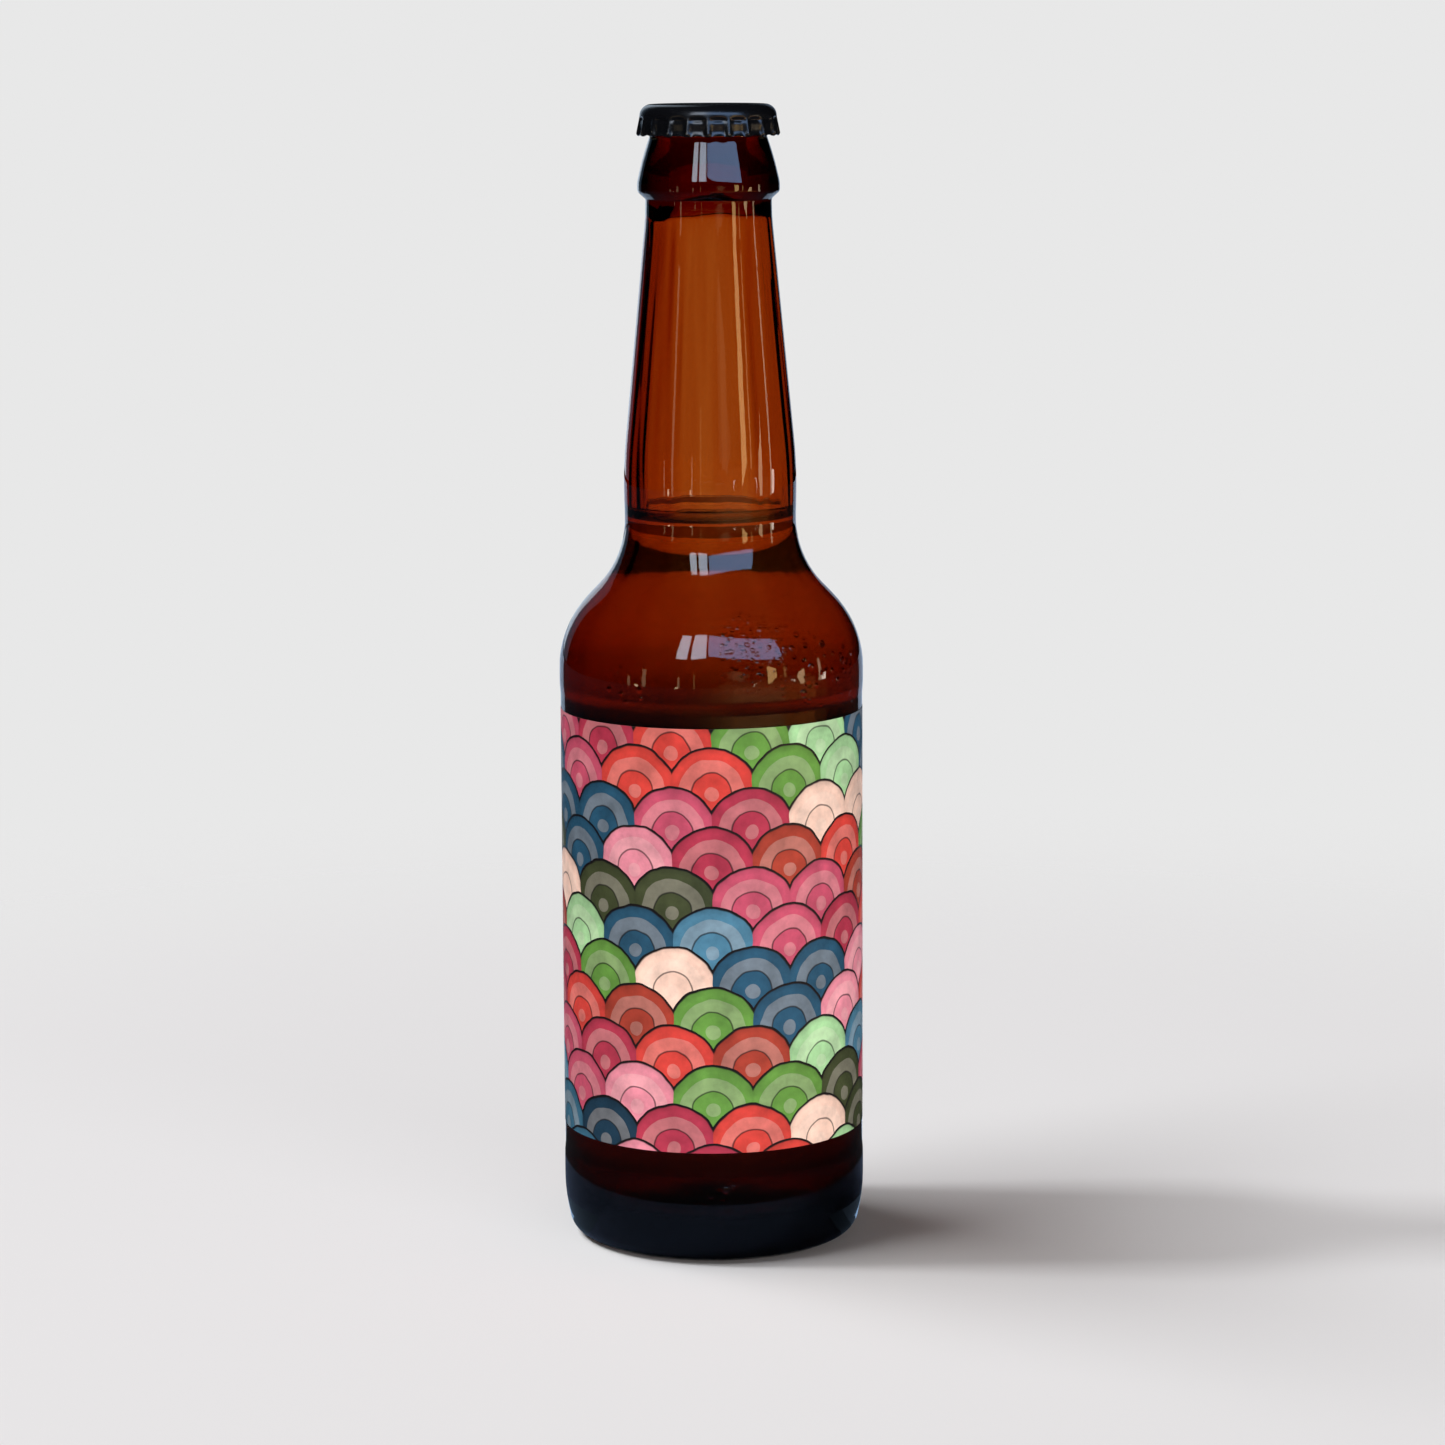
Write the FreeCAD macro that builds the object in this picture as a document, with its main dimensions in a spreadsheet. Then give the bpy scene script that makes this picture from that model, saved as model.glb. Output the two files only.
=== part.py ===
"""A longneck drinks bottle in amber glass, filled, labelled and closed with a crown cap.

Millimetres, +Z up. The origin is on the bottle's axis, in the plane that it stands on, and the middle
of the label faces -Y.
"""

import FreeCAD
import Part
import math
import os
import Sketcher

# The driving dimensions. The zones of the glass are stacked from the base up, so each length can change alone.
DIMENSIONS = {
    # Body: two contact bands, with the label panel set back between them
    "body_radius": 30.5,
    "lower_band": 7.5,
    "upper_band": 11.5,
    "panel_recess": 0.2,
    "panel_ramp": 2.0,
    "panel_rounding": 8.0,
    # Heel and base
    "heel_height": 8.5,
    "heel_lean": 1.7,
    "heel_blend": 32.0,
    "foot_rounding": 4.2,
    "bearing_reach": 5.4,
    "bearing_rounding": 0.8,
    "punt_radius": 18.5,
    "punt_edge_rise": 2.8,
    "punt_rise": 4.2,
    "punt_rounding": 6.0,
    # Shoulder
    "shoulder_rise": 14.2,
    "shoulder_rounding": 21.5,
    "neck_root_rounding": 19.0,
    # Neck, from its foot at the shoulder to the collar under the finish
    "neck_root_radius": 16.85,
    "neck_root_length": 17.8,
    "neck_swell": 0.43,
    "neck_swell_rounding": 100.0,
    "neck_taper_length": 49.9,
    "neck_top_radius": 12.46,
    "neck_top_rounding": 45.0,
    "neck_collar": 3.25,
    # Finish: the reinforcing ring, the waist above it and the locking ring under the cap
    "ring_proud": 1.69,
    "ring_flare_rise": 1.35,
    "ring_height": 2.2,
    "ring_root_rounding": 0.5,
    "ring_foot_rounding": 1.0,
    "ring_top_rounding": 3.0,
    "waist_radius": 11.56,
    "waist_rise": 9.2,
    "waist_rounding": 0.8,
    "locking_radius": 13.15,
    "locking_flare_rise": 1.0,
    "locking_height": 1.4,
    "locking_foot_rounding": 0.8,
    "locking_top_rounding": 1.5,
    "rim_slope": 2.75,
    "rim_rise": 2.7,
    "rim_rounding": 1.5,
    # Inside of the glass
    "body_wall": 2.3,
    "neck_wall": 2.0,
    "base_thickness": 5.5,
    "heel_floor": 6.2,
    "heel_inner_rounding": 8.0,
    "bore_radius": 8.0,
    "bore_length": 16.0,
    "bore_cone": 5.3,
    "bore_rounding": 3.0,
    "mouth_flare": 0.7,
    "mouth_rounding": 0.6,
    # Drink, filled to a depth below the rim
    "fill_depth": 81.0,
    # Label, with its film of adhesive and its margins on the panel
    "label_low_margin": 5.2,
    "label_height": 85.0,
    "label_high_margin": 2.8,
    "label_paper": 0.08,
    "label_glue": 0.03,
    "label_seam": 0.5,
    # Crown cap
    "cap_steel": 0.24,
    "cap_depth": 6.2,
    "cap_corner": 1.85,
    "cap_step": 0.2,
    "flute_count": 21.0,
    "flute_drop": 0.15,
    "flute_depth": 0.8,
    "flute_gap": 0.16,
    # Liner of the cap
    "liner_thickness": 0.46,
    "liner_play": 0.2,
    "liner_bead_depth": 0.8,
    "liner_bead_width": 0.75,
    "liner_bead_slope": 0.85,
}

FULL_TURN = 360.0
SKIRT_STEPS = 5
CORNER_STEPS = 4
POINTS_PER_FLUTE = 8
CREST_SHARPNESS = 1.7

doc = FreeCAD.newDocument("drinks_bottle")
sheet = doc.addObject("Spreadsheet::Sheet", "sizes")


class Size:
    """A number together with the sheet expression that gives it, so that both come from one formula."""

    def __init__(self, number, text):
        self.number = number
        self.text = text

    def __add__(self, other):
        other = as_size(other)
        return Size(self.number + other.number, f"({self.text} + {other.text})")

    def __sub__(self, other):
        other = as_size(other)
        return Size(self.number - other.number, f"({self.text} - {other.text})")

    def __mul__(self, other):
        other = as_size(other)
        return Size(self.number * other.number, f"({self.text} * {other.text})")

    def __truediv__(self, other):
        other = as_size(other)
        return Size(self.number / other.number, f"({self.text} / {other.text})")


def as_size(value):
    return value if isinstance(value, Size) else Size(float(value), repr(float(value)))


ON_AXIS = as_size(0)
ON_FLOOR = as_size(0)
SHARP = as_size(0)


class Sizes:
    """The sheet's cells by alias, each as a Size."""

    def __getattr__(self, alias):
        return Size(float(sheet.get(alias)), f"sizes.{alias}")


def fill_sheet():
    for row, (alias, value) in enumerate(DIMENSIONS.items(), start=1):
        sheet.set(f"A{row}", alias)
        sheet.set(f"B{row}", str(value))
        sheet.setAlias(f"B{row}", alias)
    doc.recompute()


fill_sheet()
size = Sizes()


class Height:
    """Heights above the plane that the bottle stands on, each stacked on the one below."""

    panel_ramp_low = size.heel_height + size.lower_band
    panel_bottom = panel_ramp_low + size.panel_ramp
    label_bottom = panel_bottom + size.label_low_margin
    label_top = label_bottom + size.label_height
    panel_top = label_top + size.label_high_margin
    panel_ramp_high = panel_top + size.panel_ramp
    shoulder_low = panel_ramp_high + size.upper_band
    shoulder_high = shoulder_low + size.shoulder_rise
    neck_swell = shoulder_high + size.neck_root_length
    neck_top = neck_swell + size.neck_taper_length
    ring_root = neck_top + size.neck_collar
    ring_foot = ring_root + size.ring_flare_rise
    ring_top = ring_foot + size.ring_height
    waist = ring_top + size.waist_rise
    locking_foot = waist + size.locking_flare_rise
    locking_top = locking_foot + size.locking_height
    rim = locking_top + size.rim_rise
    fill = rim - size.fill_depth
    bore_bottom = rim - size.bore_length
    cap_panel = rim + size.liner_thickness
    cap_top = cap_panel + size.cap_steel


class Radius:
    """Radii that two or more pieces share."""

    panel = size.body_radius - size.panel_recess
    cavity = size.body_radius - size.body_wall
    neck_swell = size.neck_root_radius + size.neck_swell
    skirt_valley = size.locking_radius + size.flute_gap + size.cap_steel
    skirt_crest = skirt_valley + size.flute_depth
    cap_shoulder = skirt_valley + size.cap_step
    cap_panel = cap_shoulder - size.cap_corner


class Outline:
    """A closed sketch in a body's XZ plane: straight sides between corners, which tangent arcs may round off.

    Each corner is (radius, height, rounding). Its place is held by a construction point that the two sides
    pass through, so the sheet drives the corners and the roundings alone.
    """

    def __init__(self, body, name, corners):
        self.corners = corners
        self.sketch = body.newObject("Sketcher::SketchObject", name)
        plane = next(f for f in body.Origin.OriginFeatures if f.Role == "XZ_Plane")
        self.sketch.AttachmentSupport = [(plane, "")]
        self.sketch.MapMode = "FlatFace"
        self.bound = []
        self.places = [FreeCAD.Vector(r.number, z.number, 0) for r, z, rounding in corners]
        self.points = [self.hold_corner(index) for index in range(len(corners))]
        self.sides = [self.draw_side(index) for index in range(len(corners))]
        for index in range(len(corners)):
            self.join_sides(index)
        self.bind()

    def rounded(self, index):
        return self.corners[index % len(self.corners)][2].number > 0

    def constrain(self, *what):
        return self.sketch.addConstraint(Sketcher.Constraint(*what))

    def constrain_to(self, wanted, name, *what):
        index = self.constrain(*what, wanted.number)
        self.bound.append((index, name, wanted.text))

    def hold_corner(self, index):
        """The construction point at a corner, on an axis of the sketch where the radius or height is zero."""
        radius, height, rounding = self.corners[index]
        point = self.sketch.addGeometry(Part.Point(self.places[index]), True)
        if radius.number == 0:
            self.constrain("PointOnObject", point, 1, -2)
        else:
            self.constrain_to(radius, f"radius_{index}", "DistanceX", -1, 1, point, 1)
        if height.number == 0:
            self.constrain("PointOnObject", point, 1, -1)
        else:
            self.constrain_to(height, f"height_{index}", "DistanceY", -1, 1, point, 1)
        return point

    def tangent_length(self, index):
        """How far from a corner its arc begins, and the two directions that the sides leave it in."""
        here = self.places[index]
        back = (self.places[index - 1] - here).normalize()
        ahead = (self.places[(index + 1) % len(self.places)] - here).normalize()
        half_angle = back.getAngle(ahead) / 2
        return self.corners[index][2].number / math.tan(half_angle), back, ahead

    def draw_side(self, index):
        """The side from a corner to the next one, between the ends of their arcs."""
        after = (index + 1) % len(self.corners)
        start, end = self.places[index], self.places[after]
        if self.rounded(index):
            length, back, ahead = self.tangent_length(index)
            start = start + ahead * length
        if self.rounded(after):
            length, back, ahead = self.tangent_length(after)
            end = end + back * length
        side = self.sketch.addGeometry(Part.LineSegment(start, end))
        for corner, position in ((index, 1), (after, 2)):
            if self.rounded(corner):
                self.constrain("PointOnObject", self.points[corner], 1, side)
            else:
                self.constrain("Coincident", side, position, self.points[corner], 1)
        return side

    def join_sides(self, index):
        """The arc that rounds a corner off, tangent to the side before it and the side after it."""
        if not self.rounded(index):
            return
        length, back, ahead = self.tangent_length(index)
        radius = self.corners[index][2]
        begin = self.places[index] + back * length
        finish = self.places[index] + ahead * length
        middle = (back + ahead).normalize()
        centre = self.places[index] + middle * math.hypot(length, radius.number)
        circle = Part.Circle(centre, FreeCAD.Vector(0, 0, 1), radius.number)
        turns_left = back.cross(ahead).z < 0
        first, last = (begin, finish) if turns_left else (finish, begin)
        arc = self.sketch.addGeometry(
            Part.ArcOfCircle(circle, circle.parameter(first), circle.parameter(last))
        )
        begin_end, finish_end = (1, 2) if turns_left else (2, 1)
        self.constrain("Tangent", self.sides[index - 1], 2, arc, begin_end)
        self.constrain("Tangent", self.sides[index], 1, arc, finish_end)
        self.constrain_to(radius, f"rounding_{index}", "Radius", arc)

    def bind(self):
        for index, name, text in self.bound:
            self.sketch.renameConstraint(index, name)
            self.sketch.setExpression(f"Constraints.{name}", text)
        doc.recompute()


def new_body(label):
    body = doc.addObject("PartDesign::Body", label)
    body.Label = label
    return body


def turn(body, kind, name, corners, angle=None):
    """A Revolution or Groove of an outline about the bottle's axis. An angle below a full turn is centred on the
    outline's own plane."""
    outline = Outline(body, f"{name}_outline", corners)
    feature = body.newObject(f"PartDesign::{kind}", name)
    feature.Profile = outline.sketch
    feature.ReferenceAxis = (outline.sketch, ["V_Axis"])
    feature.Angle = FULL_TURN
    if angle is not None:
        feature.Midplane = True
        feature.setExpression("Angle", angle.text)
    outline.sketch.Visibility = False
    doc.recompute()
    return feature


def glass_corners():
    """The outside of the glass, from the punt under the base out and up to the rim."""
    foot_radius = size.body_radius - size.heel_lean
    ring_radius = size.neck_top_radius + size.ring_proud
    return [
        (ON_AXIS, size.punt_rise, SHARP),
        (size.punt_radius, size.punt_edge_rise, size.punt_rounding),
        (foot_radius - size.bearing_reach, ON_FLOOR, size.bearing_rounding),
        (foot_radius, ON_FLOOR, size.foot_rounding),
        (size.body_radius, size.heel_height, size.heel_blend),
        (size.body_radius, Height.panel_ramp_low, size.panel_rounding),
        (Radius.panel, Height.panel_bottom, size.panel_rounding),
        (Radius.panel, Height.panel_top, size.panel_rounding),
        (size.body_radius, Height.panel_ramp_high, size.panel_rounding),
        (size.body_radius, Height.shoulder_low, size.shoulder_rounding),
        (size.neck_root_radius, Height.shoulder_high, size.neck_root_rounding),
        (Radius.neck_swell, Height.neck_swell, size.neck_swell_rounding),
        (size.neck_top_radius, Height.neck_top, size.neck_top_rounding),
        (size.neck_top_radius, Height.ring_root, size.ring_root_rounding),
        (ring_radius, Height.ring_foot, size.ring_foot_rounding),
        (ring_radius, Height.ring_top, size.ring_top_rounding),
        (size.waist_radius, Height.waist, size.waist_rounding),
        (size.locking_radius, Height.locking_foot, size.locking_foot_rounding),
        (size.locking_radius, Height.locking_top, size.locking_top_rounding),
        (size.locking_radius - size.rim_slope, Height.rim, size.rim_rounding),
        (ON_AXIS, Height.rim, SHARP),
    ]


def cavity_corners():
    """The inside of the glass, from the floor out and up to the mouth, and past it so that a cut comes through."""
    mouth_radius = size.bore_radius + size.mouth_flare
    above_mouth = Height.rim + size.mouth_flare
    neck_root_radius = size.neck_root_radius - size.neck_wall
    return [
        (ON_AXIS, size.punt_rise + size.base_thickness, SHARP),
        (size.punt_radius, size.punt_edge_rise + size.base_thickness, size.punt_rounding),
        (Radius.cavity, size.heel_floor, size.heel_inner_rounding),
        (Radius.cavity, Height.shoulder_low, size.shoulder_rounding - size.body_wall),
        (neck_root_radius, Height.shoulder_high, size.neck_root_rounding + size.neck_wall),
        (
            Radius.neck_swell - size.neck_wall,
            Height.neck_swell,
            size.neck_swell_rounding - size.neck_wall,
        ),
        (size.neck_top_radius - size.neck_wall, Height.bore_bottom - size.bore_cone, size.bore_rounding),
        (size.bore_radius, Height.bore_bottom, size.bore_rounding),
        (size.bore_radius, Height.rim - size.mouth_flare, size.mouth_rounding),
        (mouth_radius, Height.rim, SHARP),
        (mouth_radius, above_mouth, SHARP),
        (ON_AXIS, above_mouth, SHARP),
    ]


def build_bottle():
    body = new_body("glass_bottle")
    turn(body, "Revolution", "blown_outside", glass_corners())
    turn(body, "Groove", "blown_inside", cavity_corners())
    return body


def build_drink():
    """The drink fills the cavity up to a level surface in the foot of the neck."""
    body = new_body("drink")
    turn(body, "Revolution", "whole_cavity", cavity_corners())
    above = Height.rim + size.body_radius
    headspace = [
        (ON_AXIS, Height.fill, SHARP),
        (size.body_radius, Height.fill, SHARP),
        (size.body_radius, above, SHARP),
        (ON_AXIS, above, SHARP),
    ]
    turn(body, "Groove", "headspace", headspace)
    return body


def build_wrap(label, inner_radius, thickness):
    """A band wrapped round the label panel, open at its seam at the back of the bottle."""
    outer_radius = inner_radius + thickness
    section = [
        (inner_radius, Height.label_bottom, SHARP),
        (outer_radius, Height.label_bottom, SHARP),
        (outer_radius, Height.label_top, SHARP),
        (inner_radius, Height.label_top, SHARP),
    ]
    seam_angle = size.label_seam / size.body_radius * (FULL_TURN / (2 * math.pi))
    body = new_body(label)
    turn(body, "Revolution", f"{label}_band", section, as_size(FULL_TURN) - seam_angle)
    body.Placement = FreeCAD.Placement(
        FreeCAD.Vector(0, 0, 0), FreeCAD.Rotation(FreeCAD.Vector(0, 0, 1), -90)
    )
    return body


def build_liner():
    """The moulded liner under the cap's panel: a disc that lies on the rim, with a bead hanging round it."""
    disc_radius = Radius.cap_panel - size.liner_play
    bead_bottom = Height.rim - size.liner_bead_depth
    bead_outer = disc_radius + size.liner_bead_slope
    bead_inner = bead_outer - size.liner_bead_width
    section = [
        (ON_AXIS, Height.cap_panel, SHARP),
        (ON_AXIS, Height.rim, SHARP),
        (bead_inner - size.liner_bead_slope, Height.rim, SHARP),
        (bead_inner, bead_bottom, SHARP),
        (bead_outer, bead_bottom, SHARP),
        (bead_outer, Height.rim, SHARP),
        (disc_radius, Height.cap_panel, SHARP),
    ]
    body = new_body("cap_liner")
    turn(body, "Revolution", "moulded_liner", section)
    return body


def cap_meridian(inset):
    """The cap's sections from the skirt's edge up to the panel, each (valley radius, crest radius, height).

    An inset of zero gives the outside of the steel, and an inset of the steel's thickness the inside."""
    top = Height.cap_top.number
    corner = size.cap_corner.number
    shoulder_radius = Radius.cap_shoulder.number
    flute_top = top - corner - size.flute_drop.number
    edge = top - size.cap_depth.number
    edge_valley = Radius.skirt_valley.number
    edge_crest = Radius.skirt_crest.number
    sections = []
    for step in range(SKIRT_STEPS):
        share = step / SKIRT_STEPS
        valley = edge_valley + (shoulder_radius - edge_valley) * share**2
        crest = edge_crest + (shoulder_radius - edge_crest) * share
        sections.append((valley, crest, edge + (flute_top - edge) * share))
    sections.append((shoulder_radius, shoulder_radius, flute_top))
    for step in range(1, CORNER_STEPS + 1):
        angle = math.pi / 2 * step / CORNER_STEPS
        radius = Radius.cap_panel.number + (corner - inset) * math.cos(angle) + inset
        sections.append((radius, radius, top - corner + (corner - inset) * math.sin(angle)))
    return sections


def flute_wire(valley, crest, height, inset):
    """One closed wave round the skirt, set in by the inset at right angles to the wave."""
    count = round(size.flute_count.number)
    total = count * POINTS_PER_FLUTE
    points = []
    for index in range(total):
        angle = 2 * math.pi * index / total
        lift = (1 + math.cos(count * angle)) / 2
        radius = valley + (crest - valley) * lift**CREST_SHARPNESS
        slope = -(crest - valley) * CREST_SHARPNESS * lift ** (CREST_SHARPNESS - 1)
        slope = slope * count * math.sin(count * angle) / 2
        outward = FreeCAD.Vector(math.cos(angle), math.sin(angle), 0)
        along = FreeCAD.Vector(-math.sin(angle), math.cos(angle), 0)
        normal = (outward * radius - along * slope).normalize()
        point = outward * radius - normal * inset
        points.append(point + FreeCAD.Vector(0, 0, height))
    curve = Part.BSplineCurve()
    curve.interpolate(points, PeriodicFlag=True)
    return Part.Wire(curve.toShape())


def cap_form(name, inset, overshoot):
    """A solid form of the cap's outside or inside. The inside runs past the edge by the overshoot."""
    sections = cap_meridian(inset)
    if overshoot:
        valley, crest, height = sections[0]
        sections.insert(0, (valley, crest, height - overshoot))
    wires = [flute_wire(valley, crest, height, inset) for valley, crest, height in sections]
    form = doc.addObject("Part::Feature", name)
    form.Shape = Part.makeLoft(wires, True, True)
    return form


def build_cap():
    """The crown: a steel shell whose skirt is drawn into flutes towards its edge."""
    shell = doc.addObject("Part::Cut", "crown_cap")
    shell.Label = "crown_cap"
    shell.Base = cap_form("crown_outside", 0.0, 0.0)
    shell.Tool = cap_form("crown_inside", size.cap_steel.number, size.cap_depth.number / 2)
    doc.recompute()
    return shell


def check(parts):
    """Stops the script if an object failed, or a piece is not one valid solid."""
    for item in doc.Objects:
        if "Invalid" in item.State or "Error" in item.State:
            raise RuntimeError(f"{item.Label} failed: {item.State}")
    for part in parts:
        shape = part.Shape
        if shape.isNull() or not shape.isValid() or len(shape.Solids) != 1:
            raise RuntimeError(f"{part.Label} is not one valid solid")


def write(parts):
    os.makedirs("parts", exist_ok=True)
    for part in parts:
        part.Shape.exportStep(f"parts/{part.Label}.step")
        box = part.Shape.optimalBoundingBox(True, False)
        print(f"{part.Label}: {part.Shape.Volume / 1000:.3f} ml, {box.ZMin:.2f} to {box.ZMax:.2f} mm high")


def main():
    parts = [
        build_bottle(),
        build_drink(),
        build_wrap("label_adhesive", Radius.panel, size.label_glue),
        build_wrap("wrap_label", Radius.panel + size.label_glue, size.label_paper),
        build_cap(),
        build_liner(),
    ]
    doc.recompute()
    check(parts)
    write(parts)


main()
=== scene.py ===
"""A longneck drinks bottle in amber glass, filled, labelled and capped, dressed for a studio picture.

Lengths in the outlines are millimetres, as on a drawing. Blender works in metres, in the frame of the CAD
model: +Z up along the bottle's axis, -Y towards the camera, the base at z = 0.
"""

import math
import random

import bmesh
import bpy
from mathutils import Matrix, Vector


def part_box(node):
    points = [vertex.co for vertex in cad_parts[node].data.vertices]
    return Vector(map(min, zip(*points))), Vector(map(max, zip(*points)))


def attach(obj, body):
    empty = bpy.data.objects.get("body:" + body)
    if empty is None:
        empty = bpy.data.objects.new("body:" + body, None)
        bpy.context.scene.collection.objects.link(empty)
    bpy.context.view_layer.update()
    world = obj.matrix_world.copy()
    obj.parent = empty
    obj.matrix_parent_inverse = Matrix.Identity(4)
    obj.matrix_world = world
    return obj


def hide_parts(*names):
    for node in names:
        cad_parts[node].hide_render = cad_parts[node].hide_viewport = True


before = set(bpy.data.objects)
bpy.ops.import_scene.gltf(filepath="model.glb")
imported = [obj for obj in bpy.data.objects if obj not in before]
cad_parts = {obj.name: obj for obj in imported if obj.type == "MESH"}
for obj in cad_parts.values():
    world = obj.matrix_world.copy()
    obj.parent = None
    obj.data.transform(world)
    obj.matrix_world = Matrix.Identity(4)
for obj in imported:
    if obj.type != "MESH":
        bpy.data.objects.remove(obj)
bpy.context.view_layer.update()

MM = 0.001
TURN = 2 * math.pi

# Where the CAD pieces lie, in millimetres
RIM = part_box("glass_bottle")[1].z / MM
BODY_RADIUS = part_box("glass_bottle")[1].x / MM
DRINK_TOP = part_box("drink")[1].z / MM
LABEL_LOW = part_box("wrap_label")[0].z / MM
LABEL_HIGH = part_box("wrap_label")[1].z / MM
LABEL_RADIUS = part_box("wrap_label")[1].x / MM
CAP_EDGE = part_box("crown_cap")[0].z / MM
CAP_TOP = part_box("crown_cap")[1].z / MM

# The panel for the label is a little sunk, and the glass of the body is this thick
PANEL_RADIUS = BODY_RADIUS - 0.2
BODY_WALL = 2.3

# The glass as corners (radius, height, rounding), from the punt under the base out and up to the rim
GLASS_OUTSIDE = [
    (0, 4.2, 0),
    (18.5, 2.8, 6),
    (23.4, 0, 0.8),
    (BODY_RADIUS - 1.7, 0, 4.2),
    (BODY_RADIUS, 8.5, 32),
    (BODY_RADIUS, 16, 8),
    (PANEL_RADIUS, 18, 8),
    (PANEL_RADIUS, 111, 8),
    (BODY_RADIUS, 113, 8),
    (BODY_RADIUS, 124.5, 21.5),
    (16.85, 138.7, 19),
    (17.28, 156.5, 100),
    (12.46, 206.4, 45),
    (12.46, RIM - 17.85, 0.5),
    (14.05, RIM - 16.4, 1),
    (14.05, RIM - 14.6, 6),
    (13.15, RIM - 10.7, 40),
    (11.45, RIM - 5.1, 0.8),
    (13.15, RIM - 4.1, 0.8),
    (13.15, RIM - 2.7, 1.5),
    (10.4, RIM, 1.5),
    (8.95, RIM, 0),
]
# The inside of the glass in the same way, from the mouth down to the floor
GLASS_INSIDE = [
    (8.7, RIM - 0.05, 0),
    (8, RIM - 0.7, 0.6),
    (8, RIM - 16, 3),
    (10.46, RIM - 21.3, 3),
    (15.28, 156.5, 98),
    (14.85, 138.7, 21),
    (BODY_RADIUS - BODY_WALL, 124.5, 19.2),
    (BODY_RADIUS - BODY_WALL, 15, 12),
    (20.5, 7.6, 7),
    (0, 9.7, 0),
]
# The seal under the cap in the same way, round and back to the axis
LINER = [
    (0, RIM + 0.46, 0),
    (11.7, RIM + 0.46, 0.15),
    (12.55, RIM, 0.4),
    (12.55, RIM - 0.8, 0.3),
    (11.8, RIM - 0.8, 0.3),
    (10.95, RIM, 0.4),
    (0, RIM, 0),
]
# How finely the lines and the turned pieces are divided
ARC_STEP = math.radians(5)
RUN_STEP = 3.0
GLASS_COLUMNS = 240
LINER_COLUMNS = 96

# Unevenness of the blown wall. The hollow is a little oval and lies to the right, so the glass is darker
# at the sides, most of all on the left. The waves, each a count round the axis and a swing, draw upright
# streaks in the neck. All of it fades out towards the floor and towards the throat. There the neck narrows
# unevenly to the bore, in waves that are each a count, a share of the sag and a start
HOLLOW_DEEPER = 0.15
HOLLOW_OVAL = 0.5
HOLLOW_ASIDE = 0.25
RIPPLE_SEED = 5
RIPPLE_WAVES = ((2, 0.14), (3, 0.14), (5, 0.12), (9, 0.08), (14, 0.06), (21, 0.04), (33, 0.02))
RIPPLE_TWIST = 0.012
RIPPLE_SWELL = 0.5
SWELL_LENGTHS = (15, 30)
RIPPLE_FLOOR = 14
RIPPLE_FADE = 8.0
THROAT = RIM - 18.5
THROAT_SAG = 0.9
THROAT_REACH = 6
THROAT_WAVES = ((2, 1.0, 0.6), (3, 0.6, 2), (7, 0.3, 0))

# The two mould seams at the sides, which run between two heights, and the knurls on the ring that the
# bottle stands on, which is all that lies below the standing height
SEAM_ANGLES = (TURN / 4, TURN * 3 / 4)
SEAM_PROUD = 0.06
SEAM_LOW = 10
SEAM_HIGH = RIM - 6
KNURL_DEPTH = 0.25
STANDING_HEIGHT = 0.01

# Meniscus of the drink, and how far the drink and the glue sink into the glass so that no film of air
# shows. Over the glass floor, which lies this low, the drink sinks down as well as out
MENISCUS_RISE = 2.6
MENISCUS_REACH = 2.4
MENISCUS_STEPS = 14
WETTING = 0.06
GLASS_FLOOR = 10

# Haze of the drink, how far below its top it sets in, and the swirls in its surface
HAZE = 0.25
HAZE_TOP = 14.0
HAZE_FADE = 10.0
SWIRL_SIZE = 6

# Label: its seam at the back, the glue film with its pale upper edge, and a slight unevenness of the paper
# in two waves, each a count round the axis and a turn for each millimetre of height
LABEL_SEAM = 0.5
LABEL_COLUMNS = 300
LABEL_ROWS = 40
LABEL_CREASE = math.radians(40)
LABEL_GLUE = 0.03
GLUE_SEAM = 0.02
GLUE_CLOUD = 5
GLUE_EDGE = 6.0
GLUE_PALER = 2.5
PAPER_RIPPLE = 0.012
PAPER_WAVES = ((5, 0.11), (3, 0.17))

# Crown cap. Shares are of the skirt's height, from its edge up, and the ridges are sharpest at the edge
FLUTES = 21
FLUTE_COLUMNS = 20
CAP_STEEL = 0.24
CAP_SHOULDER = 13.55
CAP_CORNER = 2.3
CORNER_STEPS = 8
SKIRT_VALLEY = 13.5
SKIRT_CREST = 14.35
RIDGE_SHARPNESS = (5.0, 1.2)
VALLEY_FLARE = 0.35
FLARE_SHARE = 0.35
VALLEY_DIP = 0.3
DIP_SHARE = 0.85
DIP_WIDTH = 0.12
EDGE_SCALLOP = 0.3
EDGE_TUCK = 0.45
TUCK_SHARE = 0.16
SKIRT_STEPS = 26
CAP_CREASE = math.radians(60)

# Lacquer of the cap: its orange peel, the nicks, how far in from the crests it is worn and how much rougher
# it is there, and the rolling marks inside
PEEL_SIZE = 0.9
NICK_SIZE = 0.7
CREST_WEAR = 0.35
SCUFF_ROUGHER = 0.25
ROLL_MARK = 0.4
ROLL_STRETCH = (1.0, 0.05, 1.0)

# Marbling and grain of the seal
LINER_FLOW = 3
LINER_GRAIN = 0.3

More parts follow.
